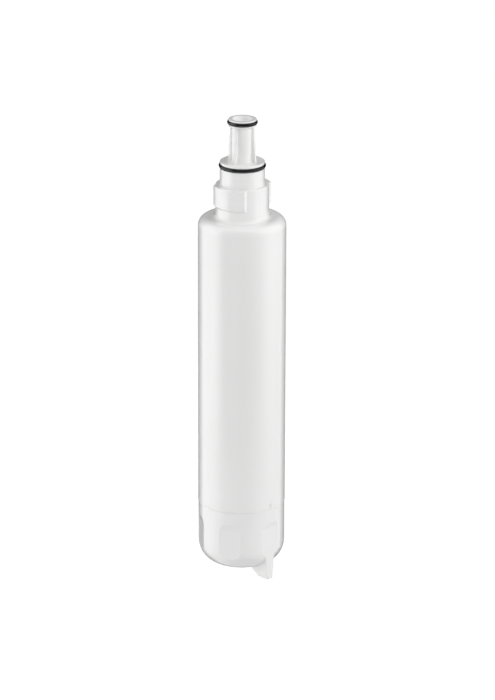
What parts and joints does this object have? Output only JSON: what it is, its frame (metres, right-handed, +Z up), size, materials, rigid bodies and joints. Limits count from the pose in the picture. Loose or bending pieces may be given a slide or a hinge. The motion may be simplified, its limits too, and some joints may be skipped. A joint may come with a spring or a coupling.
{
  "type": "water filter cartridge",
  "caption": "Long white twist-in water filter cartridge with a stepped, finned spigot, black O-rings, bayonet lugs on the neck and a welded cap with grip flats and a turning fin.",
  "frame": {"origin": "centre of the neck ledge, the ring face that stops the cartridge in its filter head", "axes": "+Z up the spigot, the way the cartridge goes into its head; +X through the turning fin on the bottom cap"},
  "size_m": [0.054, 0.054, 0.2936],
  "materials": {
    "white_polypropylene": "satin moulded, fine grain",
    "white_polypropylene_cap": "satin moulded, fine grain",
    "black_rubber": "lightly greased, satin",
    "natural_polypropylene": "satin moulded",
    "bonded_carbon": "dry, granular",
    "non_woven_wrap": "soft fibre mat"
  },
  "bodies": {
    "root": {"housing": "white_polypropylene", "bottom_cap": "white_polypropylene_cap", "outlet_o_ring": "black_rubber", "inlet_o_ring": "black_rubber", "top_end_cap": "natural_polypropylene", "end_cap_seal": "black_rubber", "carbon_block": "bonded_carbon", "prefilter_wrap": "non_woven_wrap", "bottom_end_cap": "natural_polypropylene"}
  },
  "joints": []
}
